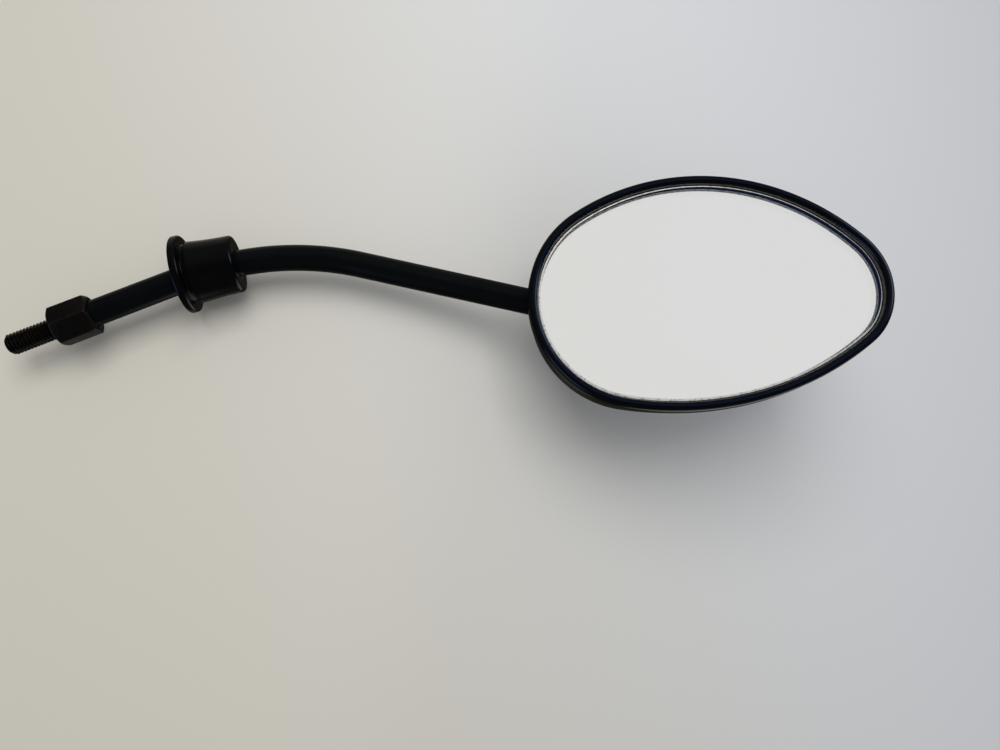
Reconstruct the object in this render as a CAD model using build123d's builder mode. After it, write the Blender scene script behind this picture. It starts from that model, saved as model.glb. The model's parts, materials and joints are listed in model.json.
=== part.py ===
from build123d import *
from math import cos, pi, radians, sin, sqrt, tan
import os

# Right-hand motorcycle mirror on a bent stem, with a ball joint inside its head.
# The origin is where the stud's axis meets the hexagon's lower face, +Z runs up the stem,
# the stem bends towards +X, and the glass looks along -Y.

# Hexagon and stud
STUD_DIAMETER = 8.0
STUD_LENGTH = 17.5
STUD_CHAMFER = 1.2
HEX_SIDES = 6
HEX_FLATS = 14.0
HEX_LENGTH = 14.5
HEX_FACE_DIAMETER = 13.0
HEX_CHAMFER_ANGLE = 30.0
HEX_TURN = 8.8
SOCKET_DEPTH = 10.0
BRAZE_GAP = 0.05

# Stem
STEM_DIAMETER = 10.0
LOWER_LENGTH = 34.5
BEND_RADIUS = 108.0
BEND_ANGLE = 36.0
BALL_HEIGHT = 186.6
STEM_CHAMFER = 0.8

# Ball stud
BALL_DIAMETER = 14.0
BALL_REACH = 11.0
NECK_DIAMETER = 7.0
SHANK_DIAMETER = 6.0
SHANK_LENGTH = 10.0
SHANK_GAP = 0.05
DRILL_POINT = 1.0

# Rubber boot
BOOT_PLACE = 19.0
BOOT_LENGTH = 21.5
BOOT_WEB = 4.0
FLANGE_DIAMETER = 29.5
FLANGE_THICKNESS = 3.0
GROOVE_DIAMETER = 21.6
GROOVE_WIDTH = 1.8
BOOT_SHOULDER_DIAMETER = 23.6
BOOT_WAIST_DIAMETER = 21.9
BOOT_END_DIAMETER = 21.8
FLANGE_ROUND = 0.8
BOOT_ROUND = 1.2
BOOT_CLEARANCE = 0.25
HEX_ROOM = 0.4

# Head outline: an egg of four tangent arcs, with its broad end at the stem
BROAD_RADIUS = 40.5
NOSE_RADIUS = 27.0
CENTRE_SPACING = 69.0
INNER_FLANK_RADIUS = 87.5
OUTER_FLANK_RADIUS = 119.0
BALL_INSET = 26.5
HEAD_CANT = 17.0

# Head movement that the neck leaves room for
HEAD_TILT = 10.0
HEAD_SWING = 12.0
NECK_CLEARANCE = 0.6

# Bezel
RIM_CREST = 19.0
BEAD_WIDTH = 3.5
BEAD_HEIGHT = 6.5
BEAD_ROUND = 1.6
BEAD_BACK_ROUND = 1.0
LEDGE_WIDTH = 2.5
SKIRT_DEPTH = 2.0
SKIRT_THICKNESS = 1.5
SKIRT_GAP = 0.15

# Glass and foam
GLASS_THICKNESS = 3.0
GLASS_RADIUS = 1200.0
GLASS_RECESS = 0.5
GLASS_GAP = 0.3
GLASS_CHAMFER = 0.7
PAD_THICKNESS = 1.5
PAD_MARGIN = 1.5

# Housing
SHELL_SETBACK = 1.4
SHELL_WALL = 2.5
SHELL_DEPTH = 28.0
BACK_FLAT = 3.0
STRAIGHT_WALL = 3.0
FUNNEL_START = 14.0
FUNNEL_FLARE = 0.5
FUNNEL_CORNER = 5.0
BOSS_DIAMETER = 18.4

# Ball clamp
BALL_CLEARANCE = 0.1
SEAT_THICKNESS = 1.5
SEAT_ANGLE = 38.0
SEAT_HOLE_ANGLE = 14.0
DISH_ANGLE = 44.0
PLATE_THICKNESS = 1.2
PLATE_DISC_RADIUS = 9.0
ARM_WIDTH = 8.0
SCREW_COUNT = 3
SCREW_CIRCLE_RADIUS = 14.0
SCREW_DIAMETER = 4.0
SCREW_LENGTH = 14.0
SCREW_GAP = 0.05
SCREW_TIP = 1.0
SCREW_HEAD_DIAMETER = 7.6
SCREW_HEAD_HEIGHT = 2.6
SCREW_HEAD_ROUND = 1.2
DRIVE_LENGTH = 4.0
DRIVE_WIDTH = 1.0
DRIVE_DEPTH = 1.5
POST_DIAMETER = 7.0
POST_GAP = 0.4
WASHER_DIAMETER = 7.8
WASHER_BORE_GAP = 0.2
WASHER_THICKNESS = 0.5
WASHER_RISE = 0.4

# Levels along the stud's axis, and the run above the bend that puts the ball at its height
stem_start = HEX_LENGTH - SOCKET_DEPTH
bend_start = HEX_LENGTH + LOWER_LENGTH
bend_end = bend_start + BEND_RADIUS * sin(radians(BEND_ANGLE))
upper_length = (BALL_HEIGHT - bend_end) / cos(radians(BEND_ANGLE)) - BALL_REACH

# The stem's path, in the plane of its bend
with BuildLine(Plane.XZ) as stem_path:
    lower_run = Line((0, stem_start), (0, bend_start))
    bend = JernArc(lower_run @ 1, lower_run % 1, BEND_RADIUS, -BEND_ANGLE)
    upper_run = PolarLine(bend @ 1, upper_length, direction=bend % 1)

# The ball's place and the planes that the head is built on
stem_end = upper_run @ 1
upper_direction = upper_run % 1
ball_centre = stem_end + upper_direction * BALL_REACH
head_turn = radians(90 - BEND_ANGLE + HEAD_CANT)
head_plane = Plane(ball_centre, x_dir=(cos(head_turn), 0, sin(head_turn)), z_dir=(0, -1, 0))
section_plane = Plane(ball_centre, x_dir=head_plane.x_dir, z_dir=-head_plane.y_dir)
neck_plane = Plane(ball_centre, x_dir=(0, 1, 0), z_dir=-upper_direction)
stud_plane = Plane(stem_end, x_dir=(0, 1, 0), z_dir=Vector(0, 1, 0).cross(upper_direction))
ball_axis = Axis(ball_centre, head_plane.z_dir)

# Depths in the head, forward of the stem's axis, and insets from its outline
rim_back = RIM_CREST - BEAD_HEIGHT
shell_back = rim_back - SHELL_DEPTH
glass_inset = BEAD_WIDTH + GLASS_GAP
opening_inset = BEAD_WIDTH + LEDGE_WIDTH
pad_inset = opening_inset + PAD_MARGIN
cavity_inset = SHELL_SETBACK + SHELL_WALL
skirt_inset = cavity_inset + SKIRT_GAP
back_round = min(NOSE_RADIUS - SHELL_SETBACK - BACK_FLAT, SHELL_DEPTH - STRAIGHT_WALL)

# The glass follows a large sphere, whose crown is over the middle of the egg
broad_ahead = BROAD_RADIUS - BALL_INSET
egg_middle = broad_ahead + (CENTRE_SPACING + NOSE_RADIUS - BROAD_RADIUS) / 2
crown = RIM_CREST - GLASS_RECESS
glass_centre = Location(head_plane.from_local_coords((egg_middle, 0, crown - GLASS_RADIUS)))
glass_back_radius = GLASS_RADIUS - GLASS_THICKNESS

# Radii and levels of the ball clamp
ball_radius = BALL_DIAMETER / 2
seat_inner = ball_radius + BALL_CLEARANCE
seat_outer = seat_inner + SEAT_THICKNESS
dish_radius = seat_outer + BALL_CLEARANCE
dish_level = dish_radius * cos(radians(DISH_ANGLE))
plate_front = dish_level + PLATE_THICKNESS
head_seat = plate_front + WASHER_THICKNESS + WASHER_RISE
post_top = dish_level - POST_GAP
neck_turn = 180 - HEAD_CANT
screw_turn = neck_turn + 180


def flank_centre(radius, side):
    """Centre of a flank arc that touches the egg's broad and nose arcs from outside."""
    to_broad = radius - BROAD_RADIUS
    to_nose = radius - NOSE_RADIUS
    along = (to_broad**2 - to_nose**2 + CENTRE_SPACING**2) / (2 * CENTRE_SPACING)
    across = sqrt(to_broad**2 - along**2)
    return Vector(broad_ahead + along, -side * across)


def head_outline(inset):
    """The head's egg, every arc drawn this far inside the rim's edge."""
    broad = Vector(broad_ahead, 0)
    nose = Vector(broad_ahead + CENTRE_SPACING, 0)
    inner = flank_centre(INNER_FLANK_RADIUS, 1)
    outer = flank_centre(OUTER_FLANK_RADIUS, -1)
    broad_radius = BROAD_RADIUS - inset
    nose_radius = NOSE_RADIUS - inset
    broad_inner = broad + (broad - inner).normalized() * broad_radius
    broad_outer = broad + (broad - outer).normalized() * broad_radius
    nose_inner = nose + (nose - inner).normalized() * nose_radius
    nose_outer = nose + (nose - outer).normalized() * nose_radius
    with BuildSketch() as outline:
        with BuildLine():
            RadiusArc(broad_inner, nose_inner, INNER_FLANK_RADIUS - inset)
            ThreePointArc(nose_inner, nose + Vector(nose_radius, 0), nose_outer)
            RadiusArc(nose_outer, broad_outer, OUTER_FLANK_RADIUS - inset)
            ThreePointArc(broad_outer, broad - Vector(broad_radius, 0), broad_inner)
        make_face()
    return outline.sketch


def pillow(inset, depth, rounding):
    """Block of the head's outline behind the bezel, with its back edge rolled over."""
    with BuildPart() as block:
        with BuildSketch(head_plane.offset(rim_back)):
            add(head_outline(inset))
        extrude(amount=-depth)
        fillet(block.edges().group_by(Axis.Y)[-1], rounding)
    return block.part


def funnel(wall):
    """Flared passage for the stem, from beside the ball out past the rim."""
    half_tilt = STEM_DIAMETER / 2 + FUNNEL_START * tan(radians(HEAD_TILT)) + NECK_CLEARANCE + wall
    half_swing = STEM_DIAMETER / 2 + FUNNEL_START * tan(radians(HEAD_SWING)) + NECK_CLEARANCE + wall
    with BuildPart() as passage:
        for reach in (FUNNEL_START, FUNNEL_START + BROAD_RADIUS):
            flare = (reach - FUNNEL_START) * FUNNEL_FLARE
            with BuildSketch(neck_plane.offset(reach)):
                RectangleRounded(2 * (half_tilt + flare), 2 * (half_swing + flare), FUNNEL_CORNER + wall)
        loft()
    return passage.part


def cap_profile(inner, outer, start, end, side):
    """Section of a spherical cap between two angles from its pole, on either side of the ball."""
    first_angle = 90 - end if side > 0 else start - 90
    with BuildSketch() as cap:
        with BuildLine():
            inside = CenterArc((0, 0), inner, first_angle, end - start)
            outside = CenterArc((0, 0), outer, first_angle, end - start)
            Line(inside @ 0, outside @ 0)
            Line(inside @ 1, outside @ 1)
        make_face()
    return cap.sketch


# Hexagon bar with the M8 stud turned on its lower end and a socket for the stem
hex_corner = HEX_FLATS / 2 / cos(pi / HEX_SIDES)
hex_chamfer = (hex_corner - HEX_FACE_DIAMETER / 2) * tan(radians(HEX_CHAMFER_ANGLE))
with BuildPart() as hex_adapter:
    with BuildSketch():
        RegularPolygon(HEX_FLATS / 2, HEX_SIDES, major_radius=False, rotation=HEX_TURN)
    extrude(amount=HEX_LENGTH)
    with BuildSketch(Plane.XZ):
        with BuildLine():
            Polyline(
                (0, 0),
                (HEX_FACE_DIAMETER / 2, 0),
                (hex_corner, hex_chamfer),
                (hex_corner, HEX_LENGTH - hex_chamfer),
                (HEX_FACE_DIAMETER / 2, HEX_LENGTH),
                (0, HEX_LENGTH),
                close=True,
            )
        make_face()
    revolve(axis=Axis.Z, mode=Mode.INTERSECT)
    with BuildSketch():
        Circle(STUD_DIAMETER / 2)
    extrude(amount=-STUD_LENGTH)
    chamfer(hex_adapter.edges().group_by(Axis.Z)[0], STUD_CHAMFER)
    with Locations((0, 0, HEX_LENGTH)):
        Hole(STEM_DIAMETER / 2 + BRAZE_GAP, SOCKET_DEPTH)

# Bent bar, drilled at its upper end for the ball stud
with BuildPart() as stem:
    add(stem_path)
    with BuildSketch(Plane.XY.offset(stem_start)):
        Circle(STEM_DIAMETER / 2)
    sweep()
    chamfer(stem.faces().sort_by(Axis(stem_end, upper_direction))[-1].edges(), STEM_CHAMFER)
    with Locations(Plane(stem_end, x_dir=(0, 1, 0), z_dir=upper_direction)):
        Hole(SHANK_DIAMETER / 2 + SHANK_GAP, SHANK_LENGTH + DRILL_POINT)

# Ball with its neck and shank, turned in one piece
with BuildPart() as ball_stud:
    with BuildSketch(stud_plane):
        with BuildLine():
            shoulder = STEM_DIAMETER / 2 - STEM_CHAMFER
            neck_top = BALL_REACH - sqrt(ball_radius**2 - (NECK_DIAMETER / 2) ** 2)
            flange_top = neck_top / 2
            Polyline(
                (0, BALL_REACH + ball_radius),
                (0, -SHANK_LENGTH),
                (SHANK_DIAMETER / 2, -SHANK_LENGTH),
                (SHANK_DIAMETER / 2, 0),
                (shoulder, 0),
                (shoulder, flange_top),
                (NECK_DIAMETER / 2, flange_top),
                (NECK_DIAMETER / 2, neck_top),
            )
            ThreePointArc(
                (NECK_DIAMETER / 2, neck_top), (ball_radius, BALL_REACH), (0, BALL_REACH + ball_radius)
            )
        make_face()
    revolve(axis=Axis(stem_end, upper_direction))

# Flanged rubber boot: its web grips the bend, and its hollow slips down over the hexagon
boot_turn = BOOT_PLACE / BEND_RADIUS
boot_spot = Vector(BEND_RADIUS * (1 - cos(boot_turn)), 0, bend_start + BEND_RADIUS * sin(boot_turn))
boot_direction = Vector(sin(boot_turn), 0, cos(boot_turn))
boot_plane = Plane(boot_spot, x_dir=(0, 1, 0), z_dir=Vector(0, 1, 0).cross(boot_direction))
boot_high = BOOT_WEB / 2
boot_low = boot_high - BOOT_LENGTH
hollow_radius = hex_corner + HEX_ROOM
groove_low = boot_low + FLANGE_THICKNESS
groove_high = groove_low + GROOVE_WIDTH
with BuildPart() as rubber_boot:
    with BuildSketch(boot_plane) as boot_section:
        with BuildLine():
            Polyline(
                (0, boot_high),
                (0, -boot_high),
                (hollow_radius, -boot_high),
                (hollow_radius, boot_low),
                (FLANGE_DIAMETER / 2, boot_low),
                (FLANGE_DIAMETER / 2, groove_low),
                (GROOVE_DIAMETER / 2, groove_low),
                (GROOVE_DIAMETER / 2, groove_high),
                (BOOT_SHOULDER_DIAMETER / 2, groove_high),
            )
            ThreePointArc(
                (BOOT_SHOULDER_DIAMETER / 2, groove_high),
                (BOOT_WAIST_DIAMETER / 2, (groove_high + boot_high) / 2),
                (BOOT_END_DIAMETER / 2, boot_high),
            )
            Line((BOOT_END_DIAMETER / 2, boot_high), (0, boot_high))
        make_face()
        fillet(boot_section.vertices().sort_by(Axis.X)[-2:], FLANGE_ROUND)
        fillet(boot_section.vertices().group_by(Axis.Y)[-1].sort_by(Axis.X)[-1], BOOT_ROUND)
    revolve(axis=Axis(boot_spot, boot_direction))
    add(stem_path)
    with BuildSketch(Plane.XY.offset(stem_start)):
        Circle(STEM_DIAMETER / 2 + BOOT_CLEARANCE)
    sweep(mode=Mode.SUBTRACT)

# The room in front of the glass's back, which the bezel leaves open
with BuildPart() as glass_pocket:
    with BuildSketch(head_plane):
        add(head_outline(BEAD_WIDTH))
    extrude(amount=RIM_CREST + BEAD_HEIGHT)
    with Locations(glass_centre):
        Sphere(glass_back_radius, mode=Mode.SUBTRACT)

# Rounded rim with a ledge for the glass and a skirt that plugs into the housing
with BuildPart() as bezel:
    with BuildSketch(head_plane.offset(rim_back)):
        add(head_outline(0))
    extrude(amount=BEAD_HEIGHT)
    fillet(bezel.edges().group_by(Axis.Y)[-1], BEAD_BACK_ROUND)
    add(glass_pocket.part, mode=Mode.SUBTRACT)
    fillet(bezel.edges().group_by(Axis.Y)[0], BEAD_ROUND)
    with BuildSketch(head_plane.offset(rim_back)):
        add(head_outline(opening_inset))
    extrude(amount=BEAD_HEIGHT, mode=Mode.SUBTRACT)
    with BuildSketch(head_plane.offset(rim_back)):
        add(head_outline(skirt_inset))
        add(head_outline(skirt_inset + SKIRT_THICKNESS), mode=Mode.SUBTRACT)
    extrude(amount=-SKIRT_DEPTH)

# Convex glass of even thickness, with its front edge ground off
with BuildPart() as mirror_glass:
    with BuildSketch(head_plane):
        add(head_outline(glass_inset))
    extrude(amount=RIM_CREST)
    with Locations(glass_centre):
        Sphere(GLASS_RADIUS, mode=Mode.INTERSECT)
        Sphere(glass_back_radius, mode=Mode.SUBTRACT)
    chamfer(mirror_glass.faces().sort_by(Axis.Y)[0].edges(), GLASS_CHAMFER)

# Foam sheet bonded to the back of the glass
with BuildPart() as foam_pad:
    with BuildSketch(head_plane):
        add(head_outline(pad_inset))
    extrude(amount=RIM_CREST)
    with Locations(glass_centre):
        Sphere(glass_back_radius, mode=Mode.INTERSECT)
        Sphere(glass_back_radius - PAD_THICKNESS, mode=Mode.SUBTRACT)

# Posts, ball boss and neck funnel, trimmed to the housing's outer form
with BuildPart() as inner_works:
    with BuildSketch(head_plane.offset(post_top)):
        with PolarLocations(SCREW_CIRCLE_RADIUS, SCREW_COUNT, screw_turn):
            Circle(POST_DIAMETER / 2)
    extrude(amount=shell_back - post_top)
    with BuildSketch(head_plane.offset(-dish_level)):
        Circle(BOSS_DIAMETER / 2)
    extrude(amount=shell_back + dish_level)
    add(funnel(SHELL_WALL))
    add(pillow(SHELL_SETBACK, SHELL_DEPTH, back_round), mode=Mode.INTERSECT)

# Moulded housing
with BuildPart() as back_shell:
    add(pillow(SHELL_SETBACK, SHELL_DEPTH, back_round))
    add(pillow(cavity_inset, SHELL_DEPTH - SHELL_WALL, back_round - SHELL_WALL), mode=Mode.SUBTRACT)
    add(inner_works.part)
    add(funnel(0), mode=Mode.SUBTRACT)
    with BuildSketch(head_plane.offset(rim_back)):
        add(head_outline(cavity_inset))
    extrude(amount=-SKIRT_DEPTH - SKIRT_GAP, mode=Mode.SUBTRACT)
    with Locations(head_plane):
        Sphere(dish_radius, mode=Mode.SUBTRACT)
    with Locations(head_plane.offset(post_top)):
        with PolarLocations(SCREW_CIRCLE_RADIUS, SCREW_COUNT, screw_turn):
            Hole(SCREW_DIAMETER / 2 + SCREW_GAP, SCREW_LENGTH - (head_seat - post_top) + SCREW_TIP)

# Nylon seats on both sides of the ball
with BuildPart() as rear_ball_seat:
    with BuildSketch(section_plane):
        add(cap_profile(seat_inner, seat_outer, SEAT_HOLE_ANGLE, SEAT_ANGLE, -1))
    revolve(axis=ball_axis)

with BuildPart() as front_ball_seat:
    with BuildSketch(section_plane):
        add(cap_profile(seat_inner, seat_outer, SEAT_HOLE_ANGLE, SEAT_ANGLE, 1))
    revolve(axis=ball_axis)

# Pressed clamp plate: three arms round a dish that presses on the front seat
with BuildPart() as clamp_plate:
    with BuildSketch(head_plane.offset(dish_level)):
        Circle(PLATE_DISC_RADIUS)
        with PolarLocations(SCREW_CIRCLE_RADIUS / 2, SCREW_COUNT, screw_turn):
            SlotCenterToCenter(SCREW_CIRCLE_RADIUS, ARM_WIDTH)
    extrude(amount=PLATE_THICKNESS)
    with BuildSketch(section_plane):
        add(cap_profile(dish_radius, dish_radius + PLATE_THICKNESS, SEAT_HOLE_ANGLE, DISH_ANGLE, 1))
    revolve(axis=ball_axis)
    with Locations(head_plane):
        Sphere(dish_radius, mode=Mode.SUBTRACT)
    with Locations(head_plane.offset(plate_front)):
        with PolarLocations(SCREW_CIRCLE_RADIUS, SCREW_COUNT, screw_turn):
            Hole(SCREW_DIAMETER / 2 + WASHER_BORE_GAP, PLATE_THICKNESS)

# Cross-recessed pan-head screws from the front into the posts
with BuildPart() as clamp_screws:
    with BuildSketch(head_plane.offset(head_seat)):
        with PolarLocations(SCREW_CIRCLE_RADIUS, SCREW_COUNT, screw_turn):
            Circle(SCREW_HEAD_DIAMETER / 2)
    extrude(amount=SCREW_HEAD_HEIGHT)
    fillet(clamp_screws.edges().group_by(Axis.Y)[0], SCREW_HEAD_ROUND)
    with BuildSketch(head_plane.offset(head_seat)):
        with PolarLocations(SCREW_CIRCLE_RADIUS, SCREW_COUNT, screw_turn):
            Circle(SCREW_DIAMETER / 2)
    extrude(amount=-SCREW_LENGTH)
    chamfer(clamp_screws.edges().group_by(Axis.Y)[-1], SCREW_TIP)
    with BuildSketch(head_plane.offset(head_seat + SCREW_HEAD_HEIGHT)):
        with PolarLocations(SCREW_CIRCLE_RADIUS, SCREW_COUNT, screw_turn):
            Rectangle(DRIVE_LENGTH, DRIVE_WIDTH)
            Rectangle(DRIVE_WIDTH, DRIVE_LENGTH)
    extrude(amount=-DRIVE_DEPTH, mode=Mode.SUBTRACT)

# One conical spring washer, and its three places between the plate and the screw heads
with BuildPart() as spring_washer:
    with BuildSketch(Plane.XZ):
        with BuildLine():
            washer_bore = SCREW_DIAMETER / 2 + WASHER_BORE_GAP
            Polyline(
                (washer_bore, WASHER_RISE),
                (washer_bore, WASHER_RISE + WASHER_THICKNESS),
                (WASHER_DIAMETER / 2, WASHER_THICKNESS),
                (WASHER_DIAMETER / 2, 0),
                close=True,
            )
        make_face()
    revolve(axis=Axis.Z)

with BuildPart() as spring_washers:
    with Locations(head_plane.offset(plate_front)):
        with PolarLocations(SCREW_CIRCLE_RADIUS, SCREW_COUNT, screw_turn):
            add(spring_washer.part)

os.makedirs("parts", exist_ok=True)
pieces = {
    "hex_adapter": hex_adapter,
    "stem": stem,
    "ball_stud": ball_stud,
    "rubber_boot": rubber_boot,
    "bezel": bezel,
    "mirror_glass": mirror_glass,
    "foam_pad": foam_pad,
    "back_shell": back_shell,
    "rear_ball_seat": rear_ball_seat,
    "front_ball_seat": front_ball_seat,
    "clamp_plate": clamp_plate,
    "clamp_screws": clamp_screws,
    "spring_washers": spring_washers,
}
for node, piece in pieces.items():
    piece.part.label = node
    export_step(piece.part, f"parts/{node}.step")
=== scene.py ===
# %% [markdown]
# # A motorcycle mirror, from solids to a finished picture
# The solids of the part arrive as a fixed frame in metres: a threaded hexagon, a bent stem, a rubber
# boot and an egg-shaped head on a ball joint. They hold the sizes and the joints. This lesson makes
# the finished meshes and surfaces of the pieces that show, and then the backdrop, light and camera.

# %% Load the frame
import json
import math

import bmesh
import bpy
from mathutils import Matrix, Vector


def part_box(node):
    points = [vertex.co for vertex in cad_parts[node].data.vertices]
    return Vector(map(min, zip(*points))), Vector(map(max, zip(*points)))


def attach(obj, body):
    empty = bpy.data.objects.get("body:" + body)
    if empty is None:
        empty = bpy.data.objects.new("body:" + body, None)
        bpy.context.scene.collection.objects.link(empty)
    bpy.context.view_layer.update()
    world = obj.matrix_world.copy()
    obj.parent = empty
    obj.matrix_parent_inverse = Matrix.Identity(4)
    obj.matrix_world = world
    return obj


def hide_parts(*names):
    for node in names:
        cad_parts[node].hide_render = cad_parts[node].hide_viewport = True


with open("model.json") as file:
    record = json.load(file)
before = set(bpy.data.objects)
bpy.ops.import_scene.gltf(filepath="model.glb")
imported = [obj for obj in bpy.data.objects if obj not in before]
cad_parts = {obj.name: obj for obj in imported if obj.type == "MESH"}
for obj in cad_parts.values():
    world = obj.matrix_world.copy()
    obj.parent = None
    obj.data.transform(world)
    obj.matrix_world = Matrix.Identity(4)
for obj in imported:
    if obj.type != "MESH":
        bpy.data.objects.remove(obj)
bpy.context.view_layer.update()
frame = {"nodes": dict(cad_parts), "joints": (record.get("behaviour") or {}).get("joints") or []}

MM = 0.001
joints = {joint["name"]: joint for joint in frame["joints"]}
print("solids:", ", ".join(sorted(frame["nodes"])))

# %% [markdown]
# ## Camera
# The photograph was taken from close above with a wide phone lens, so nearer parts look larger.
# A camera could be dragged into place by eye, but the way the stem narrows and the roundness of the
# flange fix its place well enough to write it down: where it stands, what it looks at, and which way
# the picture's right side runs.

# %% Camera at the photograph's place
CAMERA_PLACE = Vector((131.4, -275.9, 107.7)) * MM
CAMERA_AIM = Vector((81.6, 0.0, 144.1)) * MM
PICTURE_RIGHT = Vector((0.405, -0.0474, 0.9131))
PICTURE_WIDTH = 1000
FOCAL_PIXELS = 751
SENSOR_WIDTH = 36
CLIP_START = 10 * MM

look = (CAMERA_AIM - CAMERA_PLACE).normalized()
right = (PICTURE_RIGHT - look * look.dot(PICTURE_RIGHT)).normalized()
turn = Matrix((right, right.cross(look), -look)).transposed().to_4x4()
camera_data = bpy.data.cameras.new("photo_camera")
camera_data.sensor_width = SENSOR_WIDTH
camera_data.lens = SENSOR_WIDTH * FOCAL_PIXELS / PICTURE_WIDTH
camera_data.clip_start = CLIP_START
camera = bpy.data.objects.new("photo_camera", camera_data)
camera.matrix_world = Matrix.Translation(CAMERA_PLACE) @ turn
bpy.context.scene.collection.objects.link(camera)
bpy.context.scene.camera = camera
bpy.context.scene.view_settings.view_transform = "Standard"
print(f"lens {camera_data.lens:.1f} mm")

# %% [markdown]
# ## Helpers for shaders
# Colours are picked as sRGB hex values, as a painter's chart gives them, while a shader works with
# linear light, so one function turns one into the other. A second one adds a node with its settings
# and links. Patterns are sized in real millimetres: objects are in metres, so a noise whose lumps are
# this many millimetres wide needs a scale of a thousand divided by that. A mix node uses the same
# socket names for numbers, vectors and colours, so its colour sockets are found by their places.

# %% Colour and node helpers
FACTOR, COLOUR_A, COLOUR_B, MIXED = 0, 6, 7, 2


def linear(code):
    """An sRGB hex value such as c8c4b8 as a linear colour with full alpha."""
    shares = [int(code[i:i + 2], 16) / 255 for i in (0, 2, 4)]
    return [s / 12.92 if s <= 0.04045 else ((s + 0.055) / 1.055) ** 2.4 for s in shares] + [1.0]


def per_mm(size):
    """Texture scale that gives features this many millimetres wide."""
    return 1 / (size * MM)


def add_node(tree, kind, inputs=None, **settings):
    """Adds a node, sets its properties, and sets or links its inputs by name or number."""
    node = tree.nodes.new(kind)
    for key, value in settings.items():
        setattr(node, key, value)
    for key, value in (inputs or {}).items():
        if isinstance(value, bpy.types.NodeSocket):
            tree.links.new(value, node.inputs[key])
        else:
            node.inputs[key].default_value = value
    return node


def new_material(name):
    """An empty node material, with the object coordinates that every pattern here is laid on."""
    material = bpy.data.materials.new(name)
    material.use_nodes = True
    tree = material.node_tree
    tree.nodes.clear()
    place = add_node(tree, "ShaderNodeTexCoord").outputs["Object"]
    return material, tree, place


def close_material(tree, shader):
    """Ends a material's tree with the shader as its surface."""
    add_node(tree, "ShaderNodeOutputMaterial", {"Surface": shader.outputs[0]})


print("white turns to", linear("ffffff")[0], "and middle grey to", round(linear("808080")[0], 3))

# %% [markdown]
# ## Blackened steel
# The hexagon and its stud are turned from one bar of steel and blackened in a hot oxide bath. The
# skin is a brownish black, slightly oily, a little patchy, and rubbed a shade lighter along the edges.
# A wear value on the mesh's faces marks those edges.

# %% Blackened steel material
blackened_steel, tree, place = new_material("hot_blackened_steel")
patches = add_node(tree, "ShaderNodeTexNoise", {"Vector": place, "Scale": per_mm(3.0), "Detail": 4.0})
grain = add_node(tree, "ShaderNodeTexNoise", {"Vector": place, "Scale": per_mm(0.25), "Detail": 2.0})
wear = add_node(tree, "ShaderNodeAttribute", attribute_name="wear")
rubbed = add_node(
    tree, "ShaderNodeMath", {0: wear.outputs["Fac"], 1: patches.outputs["Fac"]}, operation="MULTIPLY"
)
skin_colour = add_node(
    tree,
    "ShaderNodeMix",
    {FACTOR: patches.outputs["Fac"], COLOUR_A: linear("060403"), COLOUR_B: linear("0e0b08")},
    data_type="RGBA",
)
colour = add_node(
    tree,
    "ShaderNodeMix",
    {FACTOR: rubbed.outputs[0], COLOUR_A: skin_colour.outputs[MIXED], COLOUR_B: linear("1e1a16")},
    data_type="RGBA",
)
roughness = add_node(
    tree, "ShaderNodeMapRange", {"Value": patches.outputs["Fac"], "To Min": 0.2, "To Max": 0.36}
)
bump = add_node(
    tree, "ShaderNodeBump", {"Strength": 0.35, "Distance": 0.02 * MM, "Height": grain.outputs["Fac"]}
)
shader = add_node(
    tree,
    "ShaderNodeBsdfPrincipled",
    {
        "Base Color": colour.outputs[MIXED],
        "Roughness": roughness.outputs[0],
        "Specular IOR Level": 0.5,
        "Normal": bump.outputs[0],
    },
)
close_material(tree, shader)
print(blackened_steel.name)

# %% [markdown]
# ## One recipe for the plainer finishes
# Paint, rubber, plastics and plating differ only in their numbers. In each one colour and gloss wander
# a little over patches, and a finer grain stands on the surface. So one function makes them all. It
# takes what wanders as a low and a high end, each noise as a size in millimetres and a detail, and the
# grain's relief as a strength and a height in millimetres. Whatever else a finish needs goes straight
# to the shader's own sockets.

# %% Patchy finish


def patchy_finish(name, colours, gloss, patch, grain, relief, extra):
    """A finish that wanders between two colours and two roughnesses, with a grain raised on it."""
    material, tree, place = new_material(name)
    wander, raised = [
        add_node(tree, "ShaderNodeTexNoise", {"Vector": place, "Scale": per_mm(size), "Detail": detail})
        for size, detail in (patch, grain)
    ]
    colour = add_node(
        tree,
        "ShaderNodeMix",
        {FACTOR: wander.outputs["Fac"], COLOUR_A: linear(colours[0]), COLOUR_B: linear(colours[1])},
        data_type="RGBA",
    )
    roughness = add_node(
        tree,
        "ShaderNodeMapRange",
        {"Value": wander.outputs["Fac"], "To Min": gloss[0], "To Max": gloss[1]},
    )
    strength, height = relief
    bump = add_node(
        tree,
        "ShaderNodeBump",
        {"Strength": strength, "Distance": height * MM, "Height": raised.outputs["Fac"]},
    )
    shader = add_node(
        tree,
        "ShaderNodeBsdfPrincipled",
        {
            "Base Color": colour.outputs[MIXED],
            "Roughness": roughness.outputs[0],
            "Normal": bump.outputs[0],
            **extra,
        },
    )
    close_material(tree, shader)
    return material


print("recipe ready")

# %% [markdown]
# ## Black powder coat
# The stem is sprayed with black powder and baked. The powder melts to a glossy film that keeps a
# faint orange peel, about a millimetre and a half wide and a few thousandths high.

# %% Powder coat material
powder_coat = patchy_finish(
    "baked_black_powder_coat",
    colours=("040607", "090c0d"),
    gloss=(0.16, 0.28),
    patch=(14.0, 3.0),
    grain=(1.6, 1.0),
    relief=(0.5, 0.012),
    extra={"Specular IOR Level": 0.4},
)
print(powder_coat.name)

# %% [markdown]
# ## Moulded rubber
# The boot is pressed from black rubber in a polished steel mould. It has a smooth skin with fine pores
# and a faint grey bloom where talc and dust stay in them.

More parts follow.
